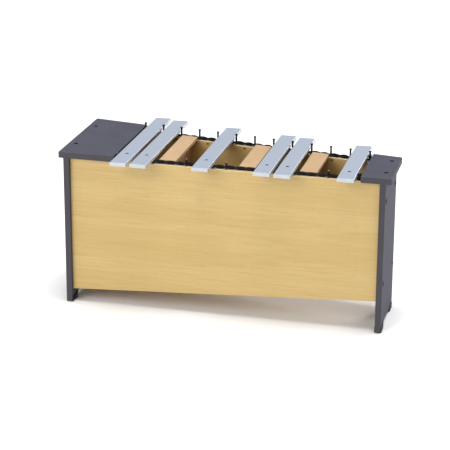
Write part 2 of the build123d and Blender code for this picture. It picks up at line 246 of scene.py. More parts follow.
def eased(node, kind, ease, material):
    """A copy of a CAD piece of the case, its long sharp edges rounded off, in its place."""
    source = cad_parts[node].data
    mesh = bpy.data.meshes.new(f"{node}_{kind}")
    mesh.from_pydata([v.co for v in source.vertices], [], [p.vertices for p in source.polygons])
    shape = cleaned(mesh, weld_gap, flat_angle=0.6)
    weight = shape.edges.layers.float.new("bevel_weight_edge")
    for edge in shape.edges:
        if edge.is_manifold and edge.calc_face_angle() > sharp_angle:
            is_long = edge.calc_length() > shortest_eased
            edge[weight] = float(is_long)
            edge.smooth = is_long
    piece = bpy.data.objects.new(f"{node}_{kind}", mesh)
    bpy.context.collection.objects.link(piece)
    round_edges(piece, shape, ease, steps=2)
    fit(piece, node, "case", material)


def laminate():
    """Pressed grey laminate: a fine pebbled sheet with pale specks, with painted shade, a darker
    browner grey, on the faces that look along Y.
    """
    material, tree, shader, place = paint("grey_laminate")
    clouds = noise(tree, place, scale=9, detail=4, rough=0.6)
    grit = noise(tree, place, scale=1500, detail=3, rough=0.7)
    cloud_share = ranged(tree, clouds, (0.3, 0.72), (0, 1))
    sheet = mixed(tree, cloud_share, tint(74, 75, 86), tint(82, 83, 94))
    speck_share = ranged(tree, grit, (0.56, 0.72), (0, 0.36))
    specked = mixed(tree, speck_share, sheet, tint(118, 120, 132))
    # Faces that look along Y, the front and back edges, are painted a darker browner grey: painted
    # shade.
    painted_facing_shading = ranged(tree, slope(tree, "Y"), (0.6, 0.8), (0, 0.5))
    pebble = add(tree, "ShaderNodeTexVoronoi", Vector=place, Scale=1100, feature="SMOOTH_F1")
    dress(
        tree, shader, pebble.outputs["Distance"], strength=0.35, depth=0.0002,
        Base_Color=mixed(tree, painted_facing_shading, specked, tint(76, 71, 67)),
        Roughness=ranged(tree, clouds, (0, 1), (0.5, 0.64)), Specular_IOR_Level=0.06,
    )
    return material


grey_laminate = laminate()
for side in ("left", "right"):
    eased(f"{side}_end_board", "laminate", board_ease, grey_laminate)

# ---------------------------------------------------------------- top caps
# A cap of the same laminate closes each end of the box, screwed down over its end board. Its
# corners are rounded in plan and its top edge is rolled.
cap_ease = 0.0006
for side in ("left", "right"):
    eased(f"{side}_top_cap", "laminate", cap_ease, grey_laminate)

# ---------------------------------------------------------------- panels
# The front and back panels are thick light boards, veneered with the grain along the row, under a
# clear satin lacquer. Their top edges, and the faces just below them, are painted paler.
panel_ease = 0.0007
paler_top_depth = 0.0006
box_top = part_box("front_panel")[1][2]


def arrow(tree, operation, one, other=(0, 0, 0), scale=1.0):
    """The result of a Vector Math node."""
    made = add(tree, "ShaderNodeVectorMath", operation=operation, Vector=one, Scale=scale)
    feed(tree, made.inputs[1], other)
    return made.outputs["Value" if operation in ("DOT_PRODUCT", "LENGTH") else "Vector"]


def streaks(tree, place, stretch, detail, rough=0.5, warp=0.0):
    """Noise drawn out by another measure along each axis, 0 to 1."""
    return add(
        tree, "ShaderNodeTexNoise", Vector=arrow(tree, "MULTIPLY", place, stretch),
        Scale=1, Detail=detail, Roughness=rough, Distortion=warp,
    ).outputs[0]


def wood(name, tones, stretch, turn, lacquer, edge=None):
    """Planed wood with its grain along X, turned about Z. tones are pale, middle, dark and pore,
    stretch is how much finer it is across and along, and edge is the level above which the wood is
    painted paler, and that paler colour."""
    material, tree, shader, place = paint(name)
    pale, middle, dark, pore = [tint(*one) for one in tones]
    across, along = stretch
    lie = add(tree, "ShaderNodeMapping", Vector=place, Rotation=(0, 0, turn)).outputs[0]

    def grain(run, cross, detail, warp=0.0):
        """Streaks as fine as given along the grain and across it."""
        fineness = (run * along, cross * across, cross * across)
        return streaks(tree, lie, fineness, detail, rough=0.62, warp=warp)

    bands = grain(0.9, 12, detail=3, warp=0.3)
    threads = grain(5, 260, detail=5)
    pores = grain(45, 1300, detail=2)
    figure = reckon(tree, "SINE", reckon(tree, "MULTIPLY", bands, 44))
    figure_share = ranged(tree, figure, (0.2, 1), (0, 0.12))
    thread_share = ranged(tree, threads, (0.46, 0.74), (0, 0.4))
    pore_share = ranged(tree, pores, (0.6, 0.74), (0, 0.55))
    colour = mixed(tree, ranged(tree, bands, (0.34, 0.66), (0, 1)), middle, pale)
    for share, stain in ((figure_share, dark), (thread_share, dark), (pore_share, pore)):
        colour = mixed(tree, share, colour, stain)
    if edge:
        level, paler_top_colour = edge
        # Above the given level the wood is painted paler, mixed with the pale tone by the threads.
        height = add(tree, "ShaderNodeSeparateXYZ", Vector=place).outputs["Z"]
        in_paler_top = reckon(tree, "GREATER_THAN", height, level)
        paler_top = mixed(tree, thread_share, tint(*paler_top_colour), pale)
        colour = mixed(tree, in_paler_top, colour, paler_top)
    sunk_pores = reckon(tree, "MULTIPLY_ADD", pore_share, -1.4, threads)
    dress(
        tree, shader, sunk_pores, strength=0.3, depth=0.00012,
        Base_Color=colour, Roughness=ranged(tree, threads, (0, 1), (0.4, 0.58)),
        Coat_Weight=lacquer, Coat_Roughness=0.35,
    )
    return material


veneer = wood(
    "veneered_panel",
    ((208, 180, 119), (200, 170, 106), (176, 142, 84), (148, 112, 64)),
    stretch=(1.0, 1.0), turn=0, lacquer=0.12,
    edge=(box_top - paler_top_depth, (226, 205, 168)),
)
for side in ("front", "back"):
    eased(f"{side}_panel", "veneered", panel_ease, veneer)

# ---------------------------------------------------------------- inside of the box
# Thin upright boards of plain ply part the box into chambers and a sloping board closes it below.
# All of them are left unpolished.
ply_ease = 0.0005
quarter_turn = math.radians(90)
inner_ply = wood(
    "inner_ply",
    ((204, 162, 122), (190, 146, 108), (160, 118, 84), (126, 90, 64)),
    stretch=(0.9, 0.8), turn=quarter_turn, lacquer=0.0,
)
bottom_ply = wood(
    "bottom_ply",
    ((204, 178, 142), (190, 162, 124), (160, 130, 92), (126, 98, 68)),
    stretch=(0.9, 0.8), turn=0, lacquer=0.0,
)
for node in ("divider_1", "divider_2", "divider_3", "left_inner_wall", "right_inner_wall"):
    eased(node, "board", ply_ease, inner_ply)
eased("bottom_panel", "board", ply_ease, bottom_ply)

# ---------------------------------------------------------------- filler blocks
# Planed beech blocks, grain along their length, fill the three places that never hold a bar. Two
# dowels hold each one on its divider.
block_ease = 0.0004
beech = wood(
    "planed_beech",
    ((200, 168, 129), (191, 157, 117), (166, 130, 92), (136, 98, 68)),
    stretch=(1.5, 4.5), turn=quarter_turn, lacquer=0.06,
)
for number in (1, 2, 3):
    eased(f"filler_block_{number}", "beech", block_ease, beech)
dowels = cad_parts["block_dowels"]
dowels.data.materials.clear()
dowels.data.materials.append(beech)

# ---------------------------------------------------------------- foot glides
# A channel of moulded black rubber with a matt skin is pushed up over each foot of the end boards
# and takes the case's weight.
glide_ease = 0.0005


def rubber(name, shade, grain_size):
    """Matt black rubber with a fine moulded skin and a trace of dust."""
    material, tree, shader, place = paint(name)
    skin = noise(tree, place, scale=1 / grain_size, detail=3)
    dust = noise(tree, place, scale=70, detail=4, rough=0.7)
    dust_share = ranged(tree, dust, (0.5, 0.8), (0, 0.35))
    dress(
        tree, shader, skin, strength=0.25, depth=grain_size / 4,
        Base_Color=mixed(tree, dust_share, tint(*shade), tint(48, 46, 46)),
        Roughness=ranged(tree, skin, (0, 1), (0.42, 0.62)), Specular_IOR_Level=0.2,
    )
    return material


glide_rubber = rubber("glide_rubber", (22, 22, 25), grain_size=0.0006)
for side in ("left", "right"):
    for end in ("front", "rear"):
        eased(f"{side}_{end}_glide", "rubber", glide_ease, glide_rubber)

# ---------------------------------------------------------------- rear pins and sleeves
# Thirteen steel pins stand along the back panel's edge, one at each slot boundary. Each is closed
# in a black rubber sleeve: a straight shank, a narrower neck and a flared, domed head.
slot_count = 12
rear_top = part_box("rear_pin_sleeves")[1][2]
cord_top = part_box("rear_support_cord")[1][2]
shank_radius = 0.0030
shank_top = cord_top - 0.002
neck_radius = 0.0029
neck_top = rear_top - 0.0062
head_radius = 0.0044
head_widest = rear_top - 0.0020
lip = 0.0003
pin_radius = 0.00125
pin_point = 0.001
pin_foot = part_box("rear_pins")[0][2]
pin_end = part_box("rear_pins")[1][2]


def row_ends(node):
    """The first and last pins' places in plan. Both rows run towards the front as they rise."""
    low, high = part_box(node)
    first = Vector((low[0] + pin_radius, high[1] - pin_radius, box_top))
    last = Vector((high[0] - pin_radius, low[1] + pin_radius, box_top))
    return first, last


def turned(name, outline, sides=28):
    """A round piece about Z from its outline: (radius, height) points, bottom to top."""
    shape = bmesh.new()
    rings = []
    for radius, height in outline:
        if radius == 0:
            rings.append([shape.verts.new((0, 0, height))] * sides)
            continue
        angles = [2 * math.pi * n / sides for n in range(sides)]
        ring = [(radius * math.cos(a), radius * math.sin(a), height) for a in angles]
        rings.append([shape.verts.new(spot) for spot in ring])
    for lower, upper in zip(rings, rings[1:]):
        for n in range(sides):
            m = (n + 1) % sides
            corners = []
            for corner in (lower[n], lower[m], upper[m], upper[n]):
                if corner not in corners:
                    corners.append(corner)
            if len(corners) > 2:
                shape.faces.new(corners).smooth = True
    bmesh.ops.recalc_face_normals(shape, faces=shape.faces)
    mesh = bpy.data.meshes.new(name)
    shape.to_mesh(mesh)
    shape.free()
    mesh.set_sharp_from_angle(angle=math.radians(50))
    return bpy.data.objects.new(name, mesh)


def flare(low, high, steps):
    """Outline points past the low one, up to the high one, along a soft S."""
    points = []
    for n in range(1, steps + 1):
        share = n / steps
        swell = (1 - math.cos(math.pi * share)) / 2
        points.append((low[0] + (high[0] - low[0]) * swell, low[1] + (high[1] - low[1]) * share))
    return points


def crown(radius, level, top, steps=8):
    """Outline points of a domed top, from above its rim to its middle."""
    points = []
    for n in range(1, steps):
        angle = math.radians(90) * n / steps
        points.append((radius * math.cos(angle), level + (top - level) * math.sin(angle)))
    return points + [(0, top)]


def geometry_tree(name, **sizes):
    """A new Geometry Nodes tree and its inputs, which sizes gives, each with its kind."""
    tree = bpy.data.node_groups.new(name, "GeometryNodeTree")
    tree.interface.new_socket("Geometry", in_out="INPUT", socket_type="NodeSocketGeometry")
    for size, kind in sizes.items():
        tree.interface.new_socket(
            size.replace("_", " "), in_out="INPUT", socket_type=f"NodeSocket{kind}"
        )
    tree.interface.new_socket("Geometry", in_out="OUTPUT", socket_type="NodeSocketGeometry")
    return tree, tree.nodes.new("NodeGroupInput").outputs


def close_tree(tree, given, shape):
    """Realizes the instances, sets the material and ends the tree."""
    real = add(tree, "GeometryNodeRealizeInstances", Geometry=shape)
    done = add(
        tree, "GeometryNodeSetMaterial", Geometry=real.outputs[0], Material=given["Material"]
    )
    end = tree.nodes.new("NodeGroupOutput")
    tree.links.new(done.outputs[0], end.inputs[0])
    return tree


def grow(name, tree, start, **values):
    """Runs the tree on a mesh and returns its result as a plain mesh object."""
    seedling = bpy.data.objects.new(f"{name}_seed", start)
    bpy.context.collection.objects.link(seedling)
    modifier = seedling.modifiers.new("nodes", "NODES")
    modifier.node_group = tree
    for item in tree.interface.items_tree:
        key = item.name.replace(" ", "_")
        if item.in_out == "INPUT" and key in values:
            modifier[item.identifier] = values[key]
    seedling.update_tag()
    bpy.context.view_layer.update()
    ready = seedling.evaluated_get(bpy.context.evaluated_depsgraph_get())
    mesh = bpy.data.meshes.new_from_object(ready)
    mesh.name = name
    bpy.data.objects.remove(seedling)
    piece = bpy.data.objects.new(name, mesh)
    bpy.context.collection.objects.link(piece)
    return piece


def spots(name, places, axes=None):
    """A mesh of single points, each with the way that its piece points."""
    mesh = bpy.data.meshes.new(name)
    mesh.from_pydata(places, [], [])
    facing = mesh.attributes.new("facing", "FLOAT_VECTOR", "POINT")
    for n in range(len(places)):
        facing.data[n].vector = axes[n] if axes else (0, 0, 1)
    return mesh


def planting_tree():
    """One piece set at each point, along its facing, turned by chance about its own axis."""
    tree, given = geometry_tree(
        "planted_pieces", Piece="Object", Largest_Turn="Float", Seed="Int", Material="Material"
    )
    piece = add(tree, "GeometryNodeObjectInfo", Object=given["Piece"])
    facing = add(
        tree, "GeometryNodeInputNamedAttribute", data_type="FLOAT_VECTOR", Name="facing"
    )
    stood = add(
        tree, "FunctionNodeAlignRotationToVector", axis="Z", Vector=facing.outputs["Attribute"]
    )
    chance = add(
        tree, "FunctionNodeRandomValue", data_type="FLOAT",
        Min_001=0, Max_001=given["Largest Turn"], Seed=given["Seed"],
    )
    spin = add(
        tree, "FunctionNodeAxisAngleToRotation", Axis=(0, 0, 1), Angle=chance.outputs[1]
    )
    turned_by = add(
        tree, "FunctionNodeRotateRotation", rotation_space="LOCAL",
        Rotation=stood.outputs[0], Rotate_By=spin.outputs[0],
    )
    set_out = add(
        tree, "GeometryNodeInstanceOnPoints",
        Points=given["Geometry"], Instance=piece.outputs["Geometry"], Rotation=turned_by.outputs[0],
    )
    return close_tree(tree, given, set_out.outputs[0])


planted = planting_tree()
full_turn = 6.28


def plant(name, piece, places, material, node, axes=None, seed=1):
    """Sets one piece at every place, as one mesh, in place of the CAD pieces."""
    bpy.context.collection.objects.link(piece)
    made = grow(
        name, planted, spots(name, places, axes),
        Piece=piece, Largest_Turn=full_turn, Seed=seed, Material=material,
    )
    bpy.data.objects.remove(piece)
    fit(made, node, "case", material)


rear_first, rear_last = row_ends("rear_pins")
rear_row = [rear_first.lerp(rear_last, n / slot_count) for n in range(slot_count + 1)]
rear_feet = [(spot.x, spot.y, 0) for spot in rear_row]
outline = [(shank_radius - lip, box_top), (shank_radius, box_top + lip), (shank_radius, shank_top)]
outline += flare((shank_radius, shank_top), (neck_radius, neck_top), steps=6)
outline += flare((neck_radius, neck_top), (head_radius, head_widest), steps=8)
outline += crown(head_radius, head_widest, rear_top)
sleeve_rubber = rubber("sleeve_rubber", (8, 8, 11), grain_size=0.0003)
plant(
    "rear_sleeves", turned("rear_sleeve", outline), rear_feet, sleeve_rubber,
    "rear_pin_sleeves",
)


def steel(name, shade, roughness, bare=1.0):
    """Drawn steel: fine scratches round the piece. bare is 1 for metal, 0 for a matt coating."""
    material, tree, shader, place = paint(name)
    marks = streaks(tree, place, (300, 300, 4200), detail=3)
    lit = [part * 1.15 for part in shade]
    dress(
        tree, shader, marks, strength=0.2, depth=0.00005,
        Base_Color=mixed(tree, marks, tint(*shade), tint(*lit)),
        Roughness=ranged(tree, marks, (0, 1), (roughness - 0.08, roughness + 0.1)),
        Metallic=bare, Specular_IOR_Level=0.1 + 0.4 * bare,
    )
    return material


bright_steel = steel("bright_steel", (132, 126, 119), roughness=0.42)
outline = [(0, pin_foot), (pin_radius, pin_foot + pin_point), (pin_radius, pin_end), (0, pin_end)]
plant(
    "rear_pin_shafts", turned("rear_pin", outline, sides=16), rear_feet, bright_steel,
    "rear_pins",
)

# ---------------------------------------------------------------- front pins and sleeves
# A short steel pin with a rounded tip stands in each slot that takes a bar, and one at each end of
# the row. A plain black sleeve covers it up to the tip.
front_slots = (0.5, 1, 2, 4, 5, 6, 8, 9, 11, 12, 12.5)
front_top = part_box("front_pins")[1][2]
sleeve_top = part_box("front_pin_sleeves")[1][2]
tip_radius = 0.0023
tip_shoulder = sleeve_top + 0.0008

front_first, front_last = row_ends("front_pins")
# The tips are wider than the shafts, so the row's ends are set in by their difference.
inset = Vector((tip_radius - pin_radius, pin_radius - tip_radius, 0))
front_first += inset
front_last -= inset
front_row = [front_first.lerp(front_last, (slot - 0.5) / slot_count) for slot in front_slots]
front_feet = [(spot.x, spot.y, 0) for spot in front_row]

outline = [(0, pin_foot), (pin_radius, pin_foot + pin_point), (pin_radius, sleeve_top)]
outline += [(tip_radius, sleeve_top), (tip_radius, tip_shoulder)]
outline += crown(tip_radius, tip_shoulder, front_top)
plant(
    "front_pin_tips", turned("front_pin", outline), front_feet, bright_steel,
    "front_pins",
)

outline = [(pin_radius, box_top), (shank_radius - lip, box_top), (shank_radius, box_top + lip)]
outline += [(shank_radius, sleeve_top - lip), (shank_radius - lip, sleeve_top)]
outline += [(pin_radius, sleeve_top)]
plant(
    "front_sleeves", turned("front_sleeve", outline), front_feet, sleeve_rubber,
    "front_pin_sleeves",
)

# ---------------------------------------------------------------- support cords
# The bars lie on two cords, one along each row of pins. Each is a pair of soft braided cords,
# twisted tightly together, parted round the pins and wrapped round the first and last of them.
cord_middle = Vector((0, 0, (cord_top - box_top) / 2))
cord_sizes = {
    "Points": 960, "Tail": 0.0044, "Twists": float(slot_count), "Strand_Radius": 0.0035,
    "Strand_Offset": 0.0024, "Wrap_Radius": 0.0025, "Parting": 0.0031, "Parting_Reach": 0.0085,
    "Unevenness": 0.7,
}
wrap_turns = 2.4
wrap_across = 0.0032
wrap_along = 0.0066
wrap_top = 0.0150
wrap_drop = 0.0100
wrap_steps = 60
loose_start = Vector((-0.0006, -0.004, 0.0142))
loose_rise = 0.001
loose_steps = 12


def braid():
    """Matt black braided sleeving: plaits that cross at a slant round the strand."""
    material, tree, shader, place = paint("black_braid")
    turn = add(tree, "ShaderNodeAttribute", attribute_name="around").outputs["Vector"]
    run = add(tree, "ShaderNodeAttribute", attribute_name="along").outputs["Fac"]
    around = add(tree, "ShaderNodeSeparateXYZ", Vector=turn).outputs
    plaits = reckon(tree, "MULTIPLY", reckon(tree, "ARCTAN2", around["Y"], around["X"]), 4)
    lean = reckon(tree, "MULTIPLY", run, 1900)
    waves = []
    for crossing in ("ADD", "SUBTRACT"):
        wave = reckon(tree, "SINE", reckon(tree, crossing, plaits, lean))
        waves.append(reckon(tree, "ABSOLUTE", wave))
    weave = reckon(tree, "MAXIMUM", *waves)
    fuzz = noise(tree, place, scale=2600, detail=3)
    dress(
        tree, shader, reckon(tree, "MULTIPLY_ADD", fuzz, 0.3, weave), strength=0.6, depth=0.0003,
        Base_Color=mixed(tree, weave, tint(3, 3, 4), tint(22, 19, 20)),
        Roughness=0.7, Specular_IOR_Level=0.2,
    )
    return material


def sweep(tree, path, radius, squeeze, joined):
    """Adds a round strand along a mesh path, domed at its ends and thinner where squeezed."""
    bluntness = 0.12
    strand = add(tree, "GeometryNodeMeshToCurve", Mesh=path)
    length = add(tree, "GeometryNodeSplineParameter").outputs["Length"]
    measured = add(
        tree, "GeometryNodeStoreNamedAttribute", Geometry=strand.outputs[0],
        Name="along", Value=length,
    )
    rim = add(tree, "GeometryNodeCurvePrimitiveCircle", Resolution=14, Radius=1.0)
    rim_place = add(tree, "GeometryNodeInputPosition").outputs[0]
    rim_marked = add(
        tree, "GeometryNodeStoreNamedAttribute", data_type="FLOAT_VECTOR",
        Geometry=rim.outputs[0], Name="around", Value=rim_place,
    )
    whole = add(tree, "GeometryNodeSplineLength").outputs["Length"]
    from_end = reckon(tree, "MINIMUM", length, reckon(tree, "SUBTRACT", whole, length))
    cut = reckon(tree, "MINIMUM", reckon(tree, "DIVIDE", from_end, radius), 1.0)
    missing = reckon(tree, "SUBTRACT", 1.0, cut)
    left_over = reckon(tree, "SUBTRACT", 1.0, reckon(tree, "MULTIPLY", missing, missing))
    dome = reckon(tree, "MAXIMUM", reckon(tree, "SQRT", left_over), bluntness)
    size = reckon(tree, "MULTIPLY", reckon(tree, "MULTIPLY", dome, radius), squeeze)
    tube = add(
        tree, "GeometryNodeCurveToMesh", Curve=measured.outputs[0],
        Profile_Curve=rim_marked.outputs[0], Scale=size, Fill_Caps=True,
    )
    smooth = add(tree, "GeometryNodeSetShadeSmooth", Geometry=tube.outputs[0])
    tree.links.new(smooth.outputs[0], joined.inputs[0])


def twisting_tree():
    """Two strands twisted about a straight line and parted where it meets a pin, and the wraps."""
    thinning = 0.22
    tree, given = geometry_tree(
        "twisted_pair",
        Row_Start="Vector", Row_End="Vector", Pins="Object", Points="Int", Tail="Float",
        Twists="Float", Strand_Radius="Float", Strand_Offset="Float", Wrap_Radius="Float",
        Parting="Float", Parting_Reach="Float", Unevenness="Float", Seed="Int",
        Material="Material",
    )
    row = arrow(tree, "SUBTRACT", given["Row End"], given["Row Start"])
    way = arrow(tree, "NORMALIZE", row)
    sideways = arrow(tree, "NORMALIZE", arrow(tree, "CROSS_PRODUCT", (0, 0, 1), row))
    tail = arrow(tree, "SCALE", way, scale=given["Tail"])
    line = add(
        tree, "GeometryNodeMeshLine", mode="END_POINTS", Count=given["Points"],
        Start_Location=arrow(tree, "SUBTRACT", given["Row Start"], tail),
        Offset=arrow(tree, "ADD", given["Row End"], tail),
    )
    place = add(tree, "GeometryNodeInputPosition").outputs[0]
    from_start = arrow(tree, "SUBTRACT", place, given["Row Start"])
    run = arrow(tree, "DOT_PRODUCT", from_start, way)
    share = reckon(tree, "DIVIDE", run, arrow(tree, "LENGTH", row))
    pins = add(tree, "GeometryNodeObjectInfo", Object=given["Pins"])
    near = add(
        tree, "GeometryNodeProximity", target_element="POINTS", Target=pins.outputs["Geometry"]
    )
    far = reckon(tree, "DIVIDE", near.outputs["Distance"], given["Parting Reach"])
    far_squared = reckon(tree, "MULTIPLY", far, far)
    parted = reckon(tree, "EXPONENT", reckon(tree, "MULTIPLY", far_squared, -1.0))
    shift = add(
        tree, "ShaderNodeTexNoise", noise_dimensions="4D",
        Vector=place, W=given["Seed"], Scale=26, Detail=1,
    )
    wander = reckon(tree, "SUBTRACT", shift.outputs[0], 0.5)
    sway = reckon(tree, "MULTIPLY", wander, given["Unevenness"])
    sway = reckon(tree, "MULTIPLY", sway, reckon(tree, "SUBTRACT", 1.0, parted))
    turns = reckon(tree, "MULTIPLY", share, given["Twists"])
    twist = reckon(tree, "MULTIPLY", turns, 2 * math.pi)
    reach = reckon(tree, "MULTIPLY_ADD", parted, given["Parting"], given["Strand Offset"])
    squeeze = reckon(tree, "MULTIPLY_ADD", parted, -thinning, 1.0)
    joined = add(tree, "GeometryNodeJoinGeometry")
    for start_angle in (0.0, math.pi):
        angle = reckon(tree, "ADD", reckon(tree, "ADD", twist, start_angle), sway)
        aside = reckon(tree, "MULTIPLY", reckon(tree, "COSINE", angle), reach)
        lift = reckon(tree, "MULTIPLY", reckon(tree, "SINE", angle), given["Strand Offset"])
        rise = add(tree, "ShaderNodeCombineXYZ", Z=lift).outputs[0]
        out = arrow(tree, "SCALE", sideways, scale=aside)
        moved = add(
            tree, "GeometryNodeSetPosition",
            Geometry=line.outputs[0], Offset=arrow(tree, "ADD", out, rise),
        )
        sweep(tree, moved.outputs[0], given["Strand Radius"], squeeze, joined)
    sweep(tree, given["Geometry"], given["Wrap Radius"], 1.0, joined)
    return close_tree(tree, given, joined.outputs[0])


def wraps(name, ends, tail):
    """The paths of the wraps round a row's first and last pins, the first with a loose tail."""
    points = []
    links = []
    for end, middle in enumerate(ends):
        start = len(points)
        if end == 0:
            for n in range(loose_steps):
                share = n / loose_steps
                spot = loose_start + Vector((0, -tail * (1 - share), loose_rise * share))
                points.append(middle + spot)
        for n in range(wrap_steps + 1):
            share = n / wrap_steps
            angle = 2 * math.pi * wrap_turns * share - math.pi / 2
            points.append(middle + Vector((
                wrap_across * math.cos(angle), wrap_along * math.sin(angle),
                wrap_top - wrap_drop * share,
            )))
        links += [(n, n + 1) for n in range(start, len(points) - 1)]
    mesh = bpy.data.meshes.new(name)
    mesh.from_pydata(points, links, [])
    return mesh


twisted = twisting_tree()
black_braid = braid()
for side, row, tail, seed in (("front", front_row, 0.026, 4), ("rear", rear_row, 0.002, 9)):
    pin_spots = [spot + cord_middle for spot in row]
    marker = bpy.data.objects.new(f"{side}_pin_spots", spots(f"{side}_pin_spots", pin_spots))
    bpy.context.collection.objects.link(marker)
    cord = grow(
        f"{side}_twisted_cords", twisted,
        wraps(f"{side}_wraps", (pin_spots[0], pin_spots[-1]), tail),
        Row_Start=pin_spots[0], Row_End=pin_spots[-1], Pins=marker,
        Seed=seed, Material=black_braid, **cord_sizes,
    )
    bpy.data.objects.remove(marker)
    fit(cord, f"{side}_support_cord", "case", black_braid)

# ---------------------------------------------------------------- screws and covers
# Black countersunk screws hold the caps, and yellow ones the panels, each of those under a domed
# grey plastic cover. All have a cross recess.
recess_reach = 0.3
recess_width = 0.065
recess_depth = 0.16
recess_taper = 0.7


def screw(name, head, shank, length):
    """A countersunk wood screw with its head at the origin and a cross recess in it."""
    cone = (head - shank) / 2
    rim = 0.0001
    outline = [(0, -length), (shank / 2, shank / 2 - length), (shank / 2, -cone)]
    outline += [(head / 2, -rim), (head / 2 - rim, 0), (0, 0)]
    body = turned(name, outline, sides=32)
    bpy.context.collection.objects.link(body)
    shape = bmesh.new()
    for wide, narrow in ((recess_reach, recess_width), (recess_width, recess_reach)):
        for vert in bmesh.ops.create_cube(shape, size=2)["verts"]:
            x, y, z = vert.co
            size = head * (1 if z > 0 else recess_taper)
            vert.co = (x * wide * size, y * narrow * size, z * recess_depth * head)
    recess_mesh = bpy.data.meshes.new("recess")
    shape.to_mesh(recess_mesh)
    shape.free()
    recess = bpy.data.objects.new("recess", recess_mesh)
    bpy.context.collection.objects.link(recess)
    cutter = body.modifiers.new("recess", "BOOLEAN")
    cutter.object = recess
    cutter.solver = "EXACT"
    cutter.use_self = True
    bpy.context.view_layer.update()
    ready = body.evaluated_get(bpy.context.evaluated_depsgraph_get())
    mesh = bpy.data.meshes.new_from_object(ready)
    bpy.data.objects.remove(body)
    bpy.data.objects.remove(recess)
    mesh.set_sharp_from_angle(angle=math.radians(30))
    return bpy.data.objects.new(name, mesh)


def solid_boxes(node):
    """The lowest and highest corners of each loose solid of a CAD node."""
    shape = bmesh.new()
    shape.from_mesh(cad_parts[node].data)
    bmesh.ops.remove_doubles(shape, verts=shape.verts, dist=weld_gap)
    left = set(shape.verts)
    found = []
    while left:
        reached = {left.pop()}
        waiting = list(reached)
        while waiting:
            vert = waiting.pop()
            for edge in vert.link_edges:
                other = edge.other_vert(vert)
                if other in left:
                    left.discard(other)
                    reached.add(other)
                    waiting.append(other)
        corners = [
            Vector([pick(vert.co[n] for vert in reached) for n in range(3)]) for pick in (min, max)
        ]
        found.append(corners)
    shape.free()
    return sorted(found, key=lambda pair: tuple(pair[0]))


head_raise = 0.0002
black_oxide = steel("black_oxide", (5, 5, 7), roughness=0.7, bare=0.0)
head_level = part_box("left_top_cap")[1][2] + head_raise
heads = [(low + high) / 2 for low, high in solid_boxes("cap_screws")]
plant(
    "cap_screws_black", screw("cap_screw", head=0.0135, shank=0.005, length=0.045),
    [(spot.x, spot.y, head_level) for spot in heads], black_oxide,
    "cap_screws", seed=5,
)

yellow_zinc = steel("yellow_zinc", (158, 134, 84), roughness=0.35)
places = []
facing = []
for low, high in solid_boxes("panel_screws"):
    outward = 1 if low.x > 0 else -1
    middle = (low + high) / 2
    places.append((high.x if outward > 0 else low.x, middle.y, middle.z))
    facing.append((outward, 0, 0))
plant(
    "panel_screws_yellow", screw("panel_screw", head=0.010, shank=0.005, length=0.050),
    places, yellow_zinc, "panel_screws", axes=facing, seed=6,
)


def plastic():
    """Moulded grey plastic with a light orange-peel skin."""
    material, tree, shader, place = paint("grey_plastic")
    skin = noise(tree, place, scale=900, detail=2)
    tone = noise(tree, place, scale=120, detail=2)
    dress(
        tree, shader, skin, strength=0.15, depth=0.0002,
        Base_Color=mixed(tree, tone, tint(44, 45, 52), tint(56, 57, 64)),
        Roughness=ranged(tree, skin, (0, 1), (0.5, 0.62)),
    )
    return material


cover_radius = 0.008
cover_height = 0.003
cover_rim = 0.0008
outline = [(0, 0), (cover_radius - lip, 0), (cover_radius, lip), (cover_radius, cover_rim)]
outline += crown(cover_radius, cover_rim, cover_height, steps=9)
plant(
    "screw_cover_caps", turned("screw_cover", outline, sides=36), places, plastic(),
    "screw_covers", axes=facing, seed=7,
)

# Small yellow screws stand in a row inside the box, just below the back panel's top edge. The row
# runs askew, so a head is a little less than half its screw's box's depth from the box's middle.
head_share = 0.93
way = (rear_row[-1] - rear_row[0]).normalized()
inward = Vector((way.y, -way.x, 0))
boxes = solid_boxes("inner_screws")
places = [(low + high) / 2 + inward * (high - low).y / 2 * head_share for low, high in boxes]
plant(
    "inner_screws_yellow", screw("inner_screw", head=0.007, shank=0.0035, length=0.016),
    places, yellow_zinc, "inner_screws", axes=[inward] * len(places), seed=8,
)

# ---------------------------------------------------------------- tone bars
# Flat bars of satin aluminium, cut to pitch: each is thinned below by a long shallow scallop, has
# its outer edges broken, and has one hole, which drops over its front pin.
scallop_share = 0.46
scallops = {
    "c_sharp_low": 0.0050, "d_sharp_low": 0.0046, "g_sharp_low": 0.0038,
    "c_sharp_high": 0.0030, "d_sharp_high": 0.0028, "g_sharp_high": 0.0020,
}
hole_radius = 0.0050
top_round = 0.0015
end_round = 0.0010
low_round = 0.0006


